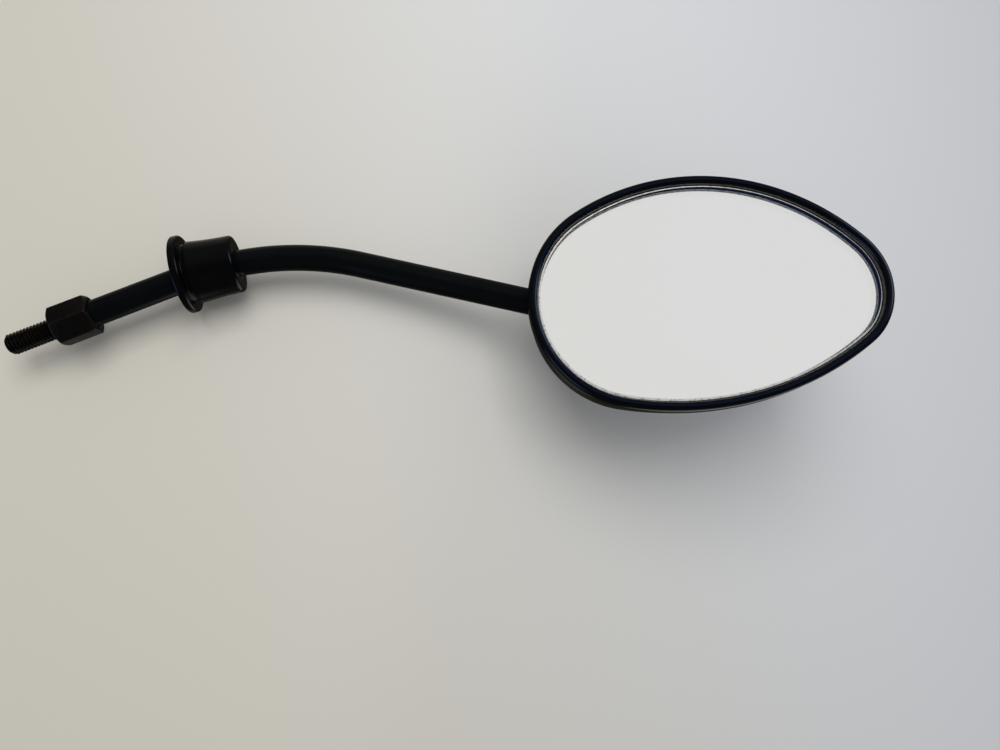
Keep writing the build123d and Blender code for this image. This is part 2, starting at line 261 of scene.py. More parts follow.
# %% Moulded rubber material
moulded_rubber = patchy_finish(
    "moulded_black_rubber",
    colours=("030303", "080808"),
    gloss=(0.13, 0.24),
    patch=(5.0, 5.0),
    grain=(0.4, 3.0),
    relief=(0.3, 0.03),
    extra={"Specular IOR Level": 0.5},
)
print(moulded_rubber.name)

# %% [markdown]
# ## Two black plastics
# Rim and housing are injection-moulded ABS. The rim comes from a polished cavity, so it is glossy
# with only a slow waviness from shrinkage. The housing's cavity is lightly etched, which gives its
# back a semi-gloss with a fine grain that hides scratches.

# %% Moulded plastics
PLASTIC_FLOW = (22.0, 3.0)
PLASTIC_IOR = {"IOR": 1.54}
polished_plastic = patchy_finish(
    "polished_black_abs",
    colours=("040506", "07090b"),
    gloss=(0.06, 0.12),
    patch=PLASTIC_FLOW,
    grain=(6.0, 2.0),
    relief=(0.4, 0.02),
    extra=PLASTIC_IOR,
)
etched_plastic = patchy_finish(
    "etched_black_abs",
    colours=("08090a", "0d0e10"),
    gloss=(0.24, 0.34),
    patch=PLASTIC_FLOW,
    grain=(0.5, 2.0),
    relief=(0.4, 0.03),
    extra=PLASTIC_IOR,
)
print(polished_plastic.name, etched_plastic.name)

# %% [markdown]
# ## Silvered glass
# The mirror is 3 mm float glass, bent convex and silvered on its back, with its front edge ground by
# hand. A single shiny sheet would miss what the eye sees at the rim: the ground edge, and behind it
# the dark wall of the rim, doubled by the silver. So the pane is real glass with silver on its back
# faces. The silver shows a few specks, and the grinding leaves chips in the chamfer's relief. Brighter
# patches in the chamfer's colour are painted glints, and the cut edge's dark grey is painted shade.

# %% Glass, ground edge and silver
float_glass, tree, _ = new_material("clear_float_glass")
shader = add_node(
    tree,
    "ShaderNodeBsdfPrincipled",
    {
        "Base Color": linear("fefefe"),
        "Roughness": 0.0,
        "IOR": 1.52,
        "Transmission Weight": 1.0,
    },
)
close_material(tree, shader)

ground_edge, tree, place = new_material("ground_glass_edge")
chips_and_glints = add_node(tree, "ShaderNodeTexNoise", {"Vector": place, "Scale": per_mm(1.1), "Detail": 4.0})
# Brighter patches in this colour are painted glints on the pale ground glass; the bump gives the chips
# their relief.
colour = add_node(
    tree,
    "ShaderNodeMapRange",
    {"Value": chips_and_glints.outputs["Fac"], "From Min": 0.38, "From Max": 0.5, "To Min": 0.6, "To Max": 1.0},
)
bump = add_node(
    tree, "ShaderNodeBump", {"Strength": 0.5, "Distance": 0.08 * MM, "Height": chips_and_glints.outputs["Fac"]}
)
shader = add_node(
    tree,
    "ShaderNodeBsdfPrincipled",
    {
        "Base Color": colour.outputs[0],
        "Roughness": 0.35,
        "Specular IOR Level": 0.2,
        "Normal": bump.outputs[0],
    },
)
close_material(tree, shader)

# The dark grey of the cut edge is painted shade, standing for the shaded black rim wall seen through the
# glass edge; the chatter is the cut's own texture.
cut_edge_painted_shade, tree, place = new_material("cut_glass_edge_painted_shade")
chatter = add_node(tree, "ShaderNodeTexNoise", {"Vector": place, "Scale": per_mm(0.8), "Detail": 3.0})
colour = add_node(
    tree,
    "ShaderNodeMix",
    {FACTOR: chatter.outputs["Fac"], COLOUR_A: linear("0b0d0e"), COLOUR_B: linear("23282b")},
    data_type="RGBA",
)
shader = add_node(
    tree,
    "ShaderNodeBsdfPrincipled",
    {"Base Color": colour.outputs[MIXED], "Roughness": 0.5, "Specular IOR Level": 0.0},
)
close_material(tree, shader)

silver, tree, place = new_material("silver_behind_glass")
specks = add_node(
    tree, "ShaderNodeTexVoronoi", {"Vector": place, "Scale": per_mm(11.0)}, feature="F1"
)
spot = add_node(
    tree,
    "ShaderNodeMapRange",
    {"Value": specks.outputs["Distance"], "From Min": 0.015, "From Max": 0.035},
)
rare = add_node(
    tree,
    "ShaderNodeMapRange",
    {"Value": specks.outputs["Color"], "From Min": 0.6, "From Max": 0.62, "To Min": 1.0, "To Max": 0.0},
)
clear = add_node(tree, "ShaderNodeMath", {0: spot.outputs[0], 1: rare.outputs[0]}, operation="MAXIMUM")
colour = add_node(
    tree,
    "ShaderNodeMix",
    {FACTOR: clear.outputs[0], COLOUR_A: linear("6f6f6d"), COLOUR_B: linear("f0f0ee")},
    data_type="RGBA",
)
shader = add_node(
    tree,
    "ShaderNodeBsdfPrincipled",
    {"Base Color": colour.outputs[MIXED], "Metallic": 1.0, "Roughness": 0.02},
)
close_material(tree, shader)
print(float_glass.name, ground_edge.name, cut_edge_painted_shade.name, silver.name)

# %% [markdown]
# ## Finishes inside the head
# The ball stud, clamp plate and screws are zinc plated, the seats are natural nylon, the washers
# blued spring steel and the pad grey foam. Only the neck of the ball stud can be glimpsed, but the
# pieces keep their own finish for anyone who takes the head apart.

# %% Inner finishes
INNER_DETAIL = 4.0
INNER_RELIEF = (0.3, 0.02)
PLATED = ["ball_stud", "clamp_plate", "clamp_screws"]
SEATS = ["rear_ball_seat", "front_ball_seat"]
INNER_FINISHES = [
    (PLATED, "bright_zinc_plate", ("9a9ea2", "b9bdc0"), (0.22, 0.38), 0.8, 1.0),
    (SEATS, "natural_moulded_nylon", ("d9d5c6", "e4e1d4"), (0.38, 0.5), 3.0, 0.0),
    (["spring_washers"], "blued_spring_steel", ("2a2d38", "3b3c46"), (0.25, 0.4), 1.5, 1.0),
    (["foam_pad"], "grey_closed_cell_foam", ("6a6b6d", "858688"), (0.8, 0.95), 0.6, 0.0),
]
for nodes, name, colours, gloss, patch_size, metallic in INNER_FINISHES:
    noise = (patch_size, INNER_DETAIL)
    finish = patchy_finish(name, colours, gloss, noise, noise, INNER_RELIEF, {"Metallic": metallic})
    for node in nodes:
        mesh = frame["nodes"][node].data
        mesh.materials.clear()
        mesh.materials.append(finish)
    print(name, "on", ", ".join(nodes))

# %% [markdown]
# ## Helpers for meshes
# Most of the pieces here are skins over a row of rings: circles for turned and moulded round parts,
# eggs for the head. A section is drawn as corners with a rounding each, because no moulded or turned
# edge is truly sharp, and a rounded edge is what catches the light.

# %% Section, skin and piece helpers
CORNER_STEPS = 6
SHARP_ANGLE = math.radians(40)
STRAIGHT_ANGLE = 1e-3
MERGE_DISTANCE = 0.0005 * MM
BOX_MARGIN = 0.1 * MM


def rounded(corners):
    """A closed section from (x, y, rounding) corners, with an arc in place of each corner."""
    points = []
    for i, (x, y, rounding) in enumerate(corners):
        here = Vector((x, y))
        before = (Vector(corners[i - 1][:2]) - here).normalized()
        after = (Vector(corners[(i + 1) % len(corners)][:2]) - here).normalized()
        half = before.angle(after) / 2
        if rounding == 0 or abs(math.pi / 2 - half) < STRAIGHT_ANGLE:
            points.append(here)
            continue
        middle = here + (before + after).normalized() * rounding / math.sin(half)
        first = here + before * rounding / math.tan(half) - middle
        last = here + after * rounding / math.tan(half) - middle
        for step in range(CORNER_STEPS + 1):
            spoke = first.slerp(last, step / CORNER_STEPS).normalized()
            points.append(middle + spoke * rounding)
    return points


def skin_rings(rings, finishes=None, closed=False):
    """A bmesh of quads between rings of equally many points, each band with its finish's number."""
    bm = bmesh.new()
    loops = [[bm.verts.new(point) for point in ring] for ring in rings]
    bands = list(zip(loops, loops[1:] + loops[:1])) if closed else list(zip(loops, loops[1:]))
    for number, (low, high) in enumerate(bands):
        for i in range(len(low)):
            j = (i + 1) % len(low)
            face = bm.faces.new((low[i], low[j], high[j], high[i]))
            face.material_index = finishes[number] if finishes else 0
    return bm, loops


def to_mesh(bm, name, materials):
    """A smooth-shaded mesh with merged points, outward faces and sharp edges where they belong."""
    bmesh.ops.remove_doubles(bm, verts=bm.verts, dist=MERGE_DISTANCE)
    bmesh.ops.recalc_face_normals(bm, faces=bm.faces)
    mesh = bpy.data.meshes.new(name)
    bm.to_mesh(mesh)
    bm.free()
    for material in materials:
        mesh.materials.append(material)
    mesh.shade_smooth()
    mesh.set_sharp_from_angle(angle=SHARP_ANGLE)
    return mesh


def add_piece(name, mesh, body, node):
    """Puts a finished mesh in the scene on its body, in place of the solid it stands for."""
    piece = bpy.data.objects.new(name, mesh)
    bpy.context.scene.collection.objects.link(piece)
    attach(piece, body)
    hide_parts(node)
    low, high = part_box(node)
    inside = all(
        low[i] - BOX_MARGIN <= vertex.co[i] <= high[i] + BOX_MARGIN
        for vertex in mesh.vertices
        for i in range(3)
    )
    print(f"{name}: {len(mesh.polygons)} faces, inside its solid's box: {inside}")


def run_tree(group, source, values):
    """The plain mesh that a geometry tree makes from a source mesh with these input values."""
    holder = bpy.data.objects.new(group.name, source)
    bpy.context.scene.collection.objects.link(holder)
    modifier = holder.modifiers.new(group.name, "NODES")
    modifier.node_group = group
    for item in group.interface.items_tree:
        if item.name in values:
            modifier[item.identifier] = values[item.name]
    graph = bpy.context.evaluated_depsgraph_get()
    mesh = bpy.data.meshes.new_from_object(holder.evaluated_get(graph))
    holder.modifiers.remove(modifier)
    bpy.data.objects.remove(holder)
    return mesh


def new_tree(name, sizes):
    """A geometry tree with a geometry input, named size inputs and a material input."""
    group = bpy.data.node_groups.new(name, "GeometryNodeTree")
    group.interface.new_socket("Geometry", in_out="INPUT", socket_type="NodeSocketGeometry")
    for size, kind in sizes.items():
        group.interface.new_socket(size, in_out="INPUT", socket_type=kind)
    group.interface.new_socket("Material", in_out="INPUT", socket_type="NodeSocketMaterial")
    group.interface.new_socket("Geometry", in_out="OUTPUT", socket_type="NodeSocketGeometry")
    return group, add_node(group, "NodeGroupInput").outputs


def close_tree(group, geometry, material):
    """Shades the result smooth, makes it real and gives it its material."""
    smooth = add_node(group, "GeometryNodeSetShadeSmooth", {"Geometry": geometry})
    real = add_node(group, "GeometryNodeRealizeInstances", {"Geometry": smooth.outputs[0]})
    finished = add_node(
        group, "GeometryNodeSetMaterial", {"Geometry": real.outputs[0], "Material": material}
    )
    add_node(group, "NodeGroupOutput", {0: finished.outputs[0]})


print("helpers ready")

# %% [markdown]
# ## The stud's thread
# An M8 thread is rolled: dies press a groove of 1.25 mm pitch into the bar and push its metal up into
# crests. It could be a coil swept along a helix, but then its ends stick out of the core.
# A thread is really a rule, a radius that depends on height and angle, so a Geometry Nodes tree bends
# a flat grid round the axis and sets each point's radius. The groove fades in below the hexagon, and
# a lead cone cuts the thread off at the tip. The flank runs between two shares of the pitch, counted
# from the middle of a crest, which leaves the crest and the root narrow flats.

# %% Thread tree
FLANK_START = 0.05
FLANK_END = 0.44

thread_tree, size = new_tree(
    "rolled_thread",
    {
        "Radius": "NodeSocketFloat",
        "Pitch": "NodeSocketFloat",
        "Depth": "NodeSocketFloat",
        "Length": "NodeSocketFloat",
        "Lead": "NodeSocketFloat",
        "Columns": "NodeSocketInt",
        "Rows": "NodeSocketInt",
    },
)
grid = add_node(
    thread_tree,
    "GeometryNodeMeshGrid",
    {"Size X": 1.0, "Size Y": 1.0, "Vertices X": size["Columns"], "Vertices Y": size["Rows"]},
)
spot = add_node(
    thread_tree,
    "ShaderNodeSeparateXYZ",
    {0: add_node(thread_tree, "GeometryNodeInputPosition").outputs[0]},
)
turn = add_node(thread_tree, "ShaderNodeMath", {0: spot.outputs["X"], 1: 0.5}, operation="ADD")
drop = add_node(
    thread_tree,
    "ShaderNodeMapRange",
    {"Value": spot.outputs["Y"], "From Min": 0.5, "From Max": -0.5, "To Max": size["Length"]},
)
pitches = add_node(
    thread_tree, "ShaderNodeMath", {0: drop.outputs[0], 1: size["Pitch"]}, operation="DIVIDE"
)
phase = add_node(
    thread_tree, "ShaderNodeMath", {0: pitches.outputs[0], 1: turn.outputs[0]}, operation="ADD"
)
flank = add_node(thread_tree, "ShaderNodeMath", {0: phase.outputs[0], 1: 0.5}, operation="PINGPONG")
groove = add_node(
    thread_tree,
    "ShaderNodeMapRange",
    {"Value": flank.outputs[0], "From Min": FLANK_START, "From Max": FLANK_END},
)
fade = add_node(
    thread_tree,
    "ShaderNodeMapRange",
    {"Value": drop.outputs[0], "To Max": size["Depth"], "From Max": size["Pitch"]},
)
depth = add_node(
    thread_tree, "ShaderNodeMath", {0: groove.outputs[0], 1: fade.outputs[0]}, operation="MULTIPLY"
)
threaded = add_node(
    thread_tree, "ShaderNodeMath", {0: size["Radius"], 1: depth.outputs[0]}, operation="SUBTRACT"
)
to_tip = add_node(
    thread_tree, "ShaderNodeMath", {0: size["Length"], 1: drop.outputs[0]}, operation="SUBTRACT"
)
tip_radius = add_node(
    thread_tree, "ShaderNodeMath", {0: size["Radius"], 1: size["Lead"]}, operation="SUBTRACT"
)
cone = add_node(
    thread_tree, "ShaderNodeMath", {0: tip_radius.outputs[0], 1: to_tip.outputs[0]}, operation="ADD"
)
radius = add_node(
    thread_tree, "ShaderNodeMath", {0: threaded.outputs[0], 1: cone.outputs[0]}, operation="MINIMUM"
)
angle = add_node(
    thread_tree, "ShaderNodeMath", {0: turn.outputs[0], 1: 2 * math.pi}, operation="MULTIPLY"
)
level = add_node(thread_tree, "ShaderNodeMath", {0: drop.outputs[0], 1: -1.0}, operation="MULTIPLY")
upright = add_node(
    thread_tree, "ShaderNodeCombineXYZ", {"X": radius.outputs[0], "Z": level.outputs[0]}
)
wound = add_node(
    thread_tree,
    "ShaderNodeVectorRotate",
    {"Vector": upright.outputs[0], "Angle": angle.outputs[0]},
    rotation_type="Z_AXIS",
)
wall = add_node(
    thread_tree,
    "GeometryNodeSetPosition",
    {"Geometry": grid.outputs[0], "Position": wound.outputs[0]},
)
joined = add_node(
    thread_tree, "GeometryNodeMergeByDistance", {"Geometry": wall.outputs[0], "Distance": MERGE_DISTANCE}
)
close_tree(thread_tree, joined.outputs[0], size["Material"])
print(len(thread_tree.nodes), "nodes in the thread tree")

# %% [markdown]
# ## The hexagon
# A spanner turns the mirror home on this hexagon, 14 mm across its flats. The bar's corners are
# turned off at 30 degrees on both ends, and where that cone meets a flat it leaves the curved edge
# that every nut has. Each point of the ring knows its distance from the axis, so the cone's level
# there is exact. A small bevel breaks the edges, and its faces carry the wear value.

# %% Threaded hexagon
FLATS = 14 * MM
FACE_RADIUS = 6.5 * MM
CHAMFER_SLOPE = math.tan(math.radians(30))
HEX_TURN = math.radians(8.8)
FLAT_STEPS = 10
EDGE_BREAK = 0.22 * MM
SOCKET_RADIUS = 5.05 * MM
SOCKET_LIP = 0.25 * MM
STUD_RADIUS = 4 * MM
STUD_ROOT = 0.5 * MM
THREAD_PITCH = 1.25 * MM
THREAD_DEPTH = 0.77 * MM
THREAD_LEAD = 1.2 * MM
THREAD_COLUMNS = 97
THREAD_ROWS = 421
WORN_ANGLE = math.radians(20)

stem_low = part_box("stem")[0].z
tip_level, hex_top = (corner.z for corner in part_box("hex_adapter"))
hex_sides = range(6)
hex_corners = [HEX_TURN + math.pi / 6 + side * math.pi / 3 for side in hex_sides]
corner_points = [Vector((math.cos(a), math.sin(a), 0)) * FLATS / math.sqrt(3) for a in hex_corners]
edge = [
    corner_points[side - 1].lerp(corner_points[side], step / FLAT_STEPS)
    for side in hex_sides
    for step in range(FLAT_STEPS)
]
cone_drop = [(point.length - FACE_RADIUS) * CHAMFER_SLOPE for point in edge]


def hex_circle(radius, level):
    """A circle at this level with a point for each point of the hexagon's edge."""
    return [point.normalized() * radius + Vector((0, 0, level)) for point in edge]


hex_rings = [
    hex_circle(FACE_RADIUS, 0),
    [point + Vector((0, 0, drop)) for point, drop in zip(edge, cone_drop)],
    [point + Vector((0, 0, hex_top - drop)) for point, drop in zip(edge, cone_drop)],
    hex_circle(FACE_RADIUS, hex_top),
    hex_circle(SOCKET_RADIUS + SOCKET_LIP, hex_top),
    hex_circle(SOCKET_RADIUS, hex_top - SOCKET_LIP),
    hex_circle(SOCKET_RADIUS, stem_low),
]
bm, loops = skin_rings(hex_rings)
bm.faces.new(loops[0])
bm.faces.new(loops[-1])
bmesh.ops.recalc_face_normals(bm, faces=bm.faces)
worn_edges = [e for e in bm.edges if e.calc_face_angle() > WORN_ANGLE]
wear_layer = bm.faces.layers.float.new("wear")
broken = bmesh.ops.bevel(
    bm, geom=worn_edges, offset=EDGE_BREAK, segments=2, profile=0.5, affect="EDGES"
)
for face in broken["faces"]:
    face[wear_layer] = 1.0
stud_mesh = run_tree(
    thread_tree,
    bpy.data.meshes.new("stud"),
    {
        "Radius": STUD_RADIUS,
        "Pitch": THREAD_PITCH,
        "Depth": THREAD_DEPTH,
        "Length": STUD_ROOT - tip_level,
        "Lead": THREAD_LEAD,
        "Columns": THREAD_COLUMNS,
        "Rows": THREAD_ROWS,
        "Material": blackened_steel,
    },
)
stud_mesh.transform(Matrix.Translation((0, 0, STUD_ROOT)))
bm.from_mesh(stud_mesh)
open_ends = [e for e in bm.edges if e.is_boundary]
bmesh.ops.contextual_create(bm, geom=[e for e in open_ends if e.verts[0].co.z > 0])
bmesh.ops.contextual_create(bm, geom=[e for e in open_ends if e.verts[0].co.z < 0])
hexagon = to_mesh(bm, "threaded_hexagon", [blackened_steel])
add_piece("threaded_hexagon", hexagon, "stem", "hex_adapter")

# %% [markdown]
# ## The stem
# The stem is a round steel bar, bent once on a roller. It could be a bevelled curve object, but a
# tree that sweeps a circle along the path keeps the bar's size as a named input and gives a plain
# mesh. The path needs points only where the bar bends. The upper end is chamfered, which is a smaller
# girth at the last point.

# %% Bar tree
bar_tree, size = new_tree("bent_bar", {"Radius": "NodeSocketFloat", "Sides": "NodeSocketInt"})
path = add_node(bar_tree, "GeometryNodeMeshToCurve", {"Mesh": size["Geometry"]})
circle = add_node(
    bar_tree,
    "GeometryNodeCurvePrimitiveCircle",
    {"Resolution": size["Sides"], "Radius": size["Radius"]},
)
girth = add_node(bar_tree, "GeometryNodeInputNamedAttribute", {"Name": "girth"}, data_type="FLOAT")
bar = add_node(
    bar_tree,
    "GeometryNodeCurveToMesh",
    {
        "Curve": path.outputs[0],
        "Profile Curve": circle.outputs[0],
        "Scale": girth.outputs[0],
        "Fill Caps": True,
    },
)
close_tree(bar_tree, bar.outputs[0], size["Material"])
print(len(bar_tree.nodes), "nodes in the bar tree")

# %% Bent stem
BAR_RADIUS = 5 * MM
BAR_CHAMFER = 0.8 * MM
BALL_REACH = 11 * MM
BEND_STEPS = 60
BAR_SIDES = 96

ball = Vector(joints["head_spin"]["pos_m"])
stem_direction = Vector(joints["head_spin"]["axis"]).normalized()
bend_centre = Vector(joints["boot_travel"]["pos_m"])
bend_radius = bend_centre.x
bend_angle = math.atan2(stem_direction.x, stem_direction.z)
stem_end = ball - stem_direction * BALL_REACH
bend_points = [
    bend_centre + Vector((-math.cos(a), 0, math.sin(a))) * bend_radius
    for a in (bend_angle * step / BEND_STEPS for step in range(BEND_STEPS + 1))
]
chamfer_start = stem_end - stem_direction * BAR_CHAMFER
stem_points = [Vector((0, 0, stem_low)), *bend_points, chamfer_start, stem_end]
stem_path = bpy.data.meshes.new("stem_path")
stem_path.from_pydata(stem_points, [(i, i + 1) for i in range(len(stem_points) - 1)], [])
girths = stem_path.attributes.new("girth", "FLOAT", "POINT")
for i in range(len(stem_points)):
    girths.data[i].value = 1.0
girths.data[len(stem_points) - 1].value = 1 - BAR_CHAMFER / BAR_RADIUS
stem_sizes = {"Radius": BAR_RADIUS, "Sides": BAR_SIDES, "Material": powder_coat}
stem_mesh = run_tree(bar_tree, stem_path, stem_sizes)
stem_mesh.set_sharp_from_angle(angle=SHARP_ANGLE)
add_piece("bent_stem", stem_mesh, "stem", "stem")

# %% [markdown]
# ## The rubber boot
# The boot covers the hexagon and the hole in the fairing when it is pushed down. It is moulded as a
# body of revolution: a flange with rounded edges, a groove for the sheet metal, a slightly waisted
# body and a web that grips the bar. Its section is drawn once, in millimetres from the boot's axis and
# from the middle of the web, and turned round that axis, which lies along the bend where the web sits.

# %% Rubber boot
BOOT_PLACE = 19 * MM
WEB_HALF = 2.0
BOOT_LOW = -19.5
BOOT_BORE = 5.25
BOOT_HOLLOW = 8.48
BOOT_END = 10.9
WAIST = 10.95
WAIST_LEVEL = -6.35
WAIST_CURVE = 140
SHOULDER = 11.8
SHOULDER_LEVEL = -14.7
GROOVE = 10.8
FLANGE = 14.75
FLANGE_LEVEL = -16.5
FLANGE_ROUND = 0.8
BOOT_SIDES = 128
BOOT_SECTION = [
    (BOOT_BORE, -WEB_HALF, 0.5),
    (BOOT_BORE, WEB_HALF, 0.5),
    (BOOT_END, WEB_HALF, 1.1),
    (WAIST, WAIST_LEVEL, WAIST_CURVE),
    (SHOULDER, SHOULDER_LEVEL, 0.45),
    (GROOVE, SHOULDER_LEVEL, 0.3),
    (GROOVE, FLANGE_LEVEL, 0.4),
    (FLANGE, FLANGE_LEVEL, FLANGE_ROUND),
    (FLANGE, BOOT_LOW, FLANGE_ROUND),
    (BOOT_HOLLOW, BOOT_LOW, 0.6),
    (BOOT_HOLLOW, -WEB_HALF, 1.0),
]
boot_turn = BOOT_PLACE / bend_radius
boot_axis = Vector((math.sin(boot_turn), 0, math.cos(boot_turn)))
boot_spot = bend_centre + Vector((-math.cos(boot_turn), 0, math.sin(boot_turn))) * bend_radius
across = Vector((0, 1, 0))
side = boot_axis.cross(across)
boot_rings = [
    [
        boot_spot + boot_axis * point.y * MM + (across * math.cos(a) + side * math.sin(a)) * point.x * MM
        for a in (2 * math.pi * step / BOOT_SIDES for step in range(BOOT_SIDES))
    ]
    for point in rounded(BOOT_SECTION)
]
bm, _ = skin_rings(boot_rings, closed=True)
boot_mesh = to_mesh(bm, "rubber_boot", [moulded_rubber])
add_piece("flanged_boot", boot_mesh, "boot", "rubber_boot")

# %% [markdown]
# ## The egg of the head
# Rim, glass and housing share one outline: a broad round at the stem, a smaller one at the nose, and
# two flank arcs that touch both from outside. Moving the outline inwards only shortens the four
# radii, so a ring at any inset has the same number of points and lines up with the next one.

# %% Egg outline
BROAD_RADIUS = 40.5
NOSE_RADIUS = 27.0
CENTRE_SPACING = 69.0
BROAD_AHEAD = 14.0
FLANK_RADII = {1: 87.5, -1: 119.0}
HEAD_CANT = math.radians(17)
POINT_SPACING = 1.1

head_turn = math.pi / 2 - bend_angle + HEAD_CANT
head_x = Vector((math.cos(head_turn), 0, math.sin(head_turn)))
head_z = Vector((0, -1, 0))
head_axes = Matrix((head_x, head_z.cross(head_x), head_z)).transposed().to_4x4()
head_frame = Matrix.Translation(ball) @ head_axes
broad = Vector((BROAD_AHEAD, 0))
nose = Vector((BROAD_AHEAD + CENTRE_SPACING, 0))


def flank_centre(side):
    """Centre of the flank arc on the inner (1) or outer (-1) side of the head."""
    to_broad = FLANK_RADII[side] - BROAD_RADIUS
    to_nose = FLANK_RADII[side] - NOSE_RADIUS
    along = (to_broad**2 - to_nose**2 + CENTRE_SPACING**2) / (2 * CENTRE_SPACING)
    return broad + Vector((along, -side * math.sqrt(to_broad**2 - along**2)))


def heading(vector):
    """The angle of a flat vector from the head's x axis."""
    return math.atan2(vector.y, vector.x)


inner, outer = flank_centre(1), flank_centre(-1)
EGG_ARCS = [
    (inner, FLANK_RADII[1], heading(broad - inner), heading(nose - inner)),
    (nose, NOSE_RADIUS, heading(nose - inner), heading(nose - outer)),
    (outer, FLANK_RADII[-1], heading(nose - outer), heading(broad - outer)),
    (broad, BROAD_RADIUS, heading(broad - outer), heading(broad - inner) - 2 * math.pi),
]


def egg(inset):
    """Points of the head's outline, this many millimetres inside the rim's edge."""
    points = []
    for centre, arc_radius, start, end in EGG_ARCS:
        steps = round(abs(end - start) * arc_radius / POINT_SPACING)
        for step in range(steps):
            a = start + (end - start) * step / steps
            points.append(centre + Vector((math.cos(a), math.sin(a))) * (arc_radius - inset))
    return points


print(len(egg(0)), "points round the egg")

# %% [markdown]
# ## The rim
# The rim is a polished bead that snaps into the housing and holds the glass. It has the same section
# all the way round, so a tree sweeps that section along the egg. Path and section come in as two
# loops of edges in one source mesh, told apart by a value on their points. The sweep lays a section's
# y axis downwards, so levels go in with their sign turned.

# %% Rim tree
rim_tree, size = new_tree("rim_bead", {})
is_section = add_node(
    rim_tree, "GeometryNodeInputNamedAttribute", {"Name": "section"}, data_type="BOOLEAN"
)
parted = add_node(
    rim_tree,
    "GeometryNodeSeparateGeometry",
    {"Geometry": size["Geometry"], "Selection": is_section.outputs[0]},
    domain="POINT",
)
section = add_node(rim_tree, "GeometryNodeMeshToCurve", {"Mesh": parted.outputs["Selection"]})
path = add_node(rim_tree, "GeometryNodeMeshToCurve", {"Mesh": parted.outputs["Inverted"]})
upright = add_node(rim_tree, "GeometryNodeSetCurveNormal", {"Curve": path.outputs[0]}, mode="Z_UP")
bead = add_node(
    rim_tree,
    "GeometryNodeCurveToMesh",
    {"Curve": upright.outputs[0], "Profile Curve": section.outputs[0]},
)
close_tree(rim_tree, bead.outputs[0], size["Material"])
print(len(rim_tree.nodes), "nodes in the rim tree")

# %% Rim bead
RIM_CREST = 19.0
RIM_BACK = 12.5
BEAD_WIDTH = 3.5
LEDGE_LEVEL = 13.6
LEDGE_INSET = 6.0
SKIRT_OUTER = 4.05
SKIRT_INNER = 5.55
SKIRT_LEVEL = 10.5
CREST_ROUND = 1.65
RIM_SECTION = [
    (0, RIM_BACK, 1.0),
    (0, RIM_CREST, CREST_ROUND),
    (BEAD_WIDTH, RIM_CREST, CREST_ROUND),
    (BEAD_WIDTH, LEDGE_LEVEL, 0.3),
    (LEDGE_INSET, LEDGE_LEVEL, 0.3),
    (LEDGE_INSET, RIM_BACK, 0.2),
    (SKIRT_INNER, RIM_BACK, 0.1),
    (SKIRT_INNER, SKIRT_LEVEL, 0.3),
    (SKIRT_OUTER, SKIRT_LEVEL, 0.3),
    (SKIRT_OUTER, RIM_BACK, 0.2),
]
path_points = [point.to_3d() for point in egg(0)]
section_points = [Vector((point.x, -point.y, 0)) for point in rounded(RIM_SECTION)]
edges = []
for first, count in ((0, len(path_points)), (len(path_points), len(section_points))):
    edges += [(first + i, first + (i + 1) % count) for i in range(count)]
rim_source = bpy.data.meshes.new("rim_source")
rim_source.from_pydata(path_points + section_points, edges, [])
marks = rim_source.attributes.new("section", "BOOLEAN", "POINT")
for i in range(len(section_points)):
    marks.data[len(path_points) + i].value = True
swept = run_tree(rim_tree, rim_source, {"Material": polished_plastic})
swept.transform(head_frame @ Matrix.Scale(MM, 4))
bm = bmesh.new()
bm.from_mesh(swept)
rim_mesh = to_mesh(bm, "rim_bead", [polished_plastic])
add_piece("rim_bead", rim_mesh, "head", "bezel")

# %% [markdown]
# ## The glass
# The pane is a piece of a large sphere, cut to the egg. Rings that shrink towards the egg's middle
# give even quads all over the front and the back. Between them lie the ground chamfer and the edge.
# The bands get four finishes: clear in front, ground on the chamfer with painted glints, cut at the edge
# in a dark grey that is painted shade, silver behind.
# The pad touches the silver all over, so the pane is a hair thinner than its solid, or the two would
# fight for the same place.

# %% Silvered glass
GLASS_CROWN = 18.5
GLASS_CURVE = 1200.0
GLASS_THICKNESS = 2.98
GLASS_INSET = 3.8
GLASS_CHAMFER = 0.7
GLASS_RINGS = 18
FRONT, CHAMFER, EDGE, BACK = range(4)
glass_middle = Vector((BROAD_AHEAD + (CENTRE_SPACING + NOSE_RADIUS - BROAD_RADIUS) / 2, 0))


def glass_ring(inset, share, depth):
    """A ring of the outline shrunk to a share of its size, this deep under the glass's front."""
    ring = []
    for point in egg(inset):
        flat = glass_middle + (point - glass_middle) * share
        reach = (GLASS_CURVE - depth) ** 2 - (flat - glass_middle).length_squared
        level = GLASS_CROWN - GLASS_CURVE + math.sqrt(reach)
        ring.append(head_frame @ (Vector((flat.x, flat.y, level)) * MM))
    return ring


shares = [step / GLASS_RINGS for step in range(GLASS_RINGS + 1)]
glass_rings = [glass_ring(GLASS_INSET + GLASS_CHAMFER, share, 0) for share in shares]
glass_rings.append(glass_ring(GLASS_INSET, 1, GLASS_CHAMFER))
glass_rings += [glass_ring(GLASS_INSET, share, GLASS_THICKNESS) for share in reversed(shares)]
bands = [FRONT] * GLASS_RINGS + [CHAMFER, EDGE] + [BACK] * GLASS_RINGS
bm, _ = skin_rings(glass_rings, bands)
glass_mesh = to_mesh(bm, "silvered_glass", [float_glass, ground_edge, cut_edge_painted_shade, silver])
add_piece("silvered_glass", glass_mesh, "head", "mirror_glass")

# %% [markdown]
# ## The housing
# The housing is the one shape that the solids already give in full: a rolled back, the flared neck for
# the stem, and the boss and posts inside. Its facets are fine enough, but they come as loose
# triangles, so a copy is merged and shaded smooth, and takes the solid's place.

# %% Housing
bm = bmesh.new()
bm.from_mesh(frame["nodes"]["back_shell"].data)
shell_mesh = to_mesh(bm, "housing", [etched_plastic])
add_piece("housing", shell_mesh, "head", "back_shell")
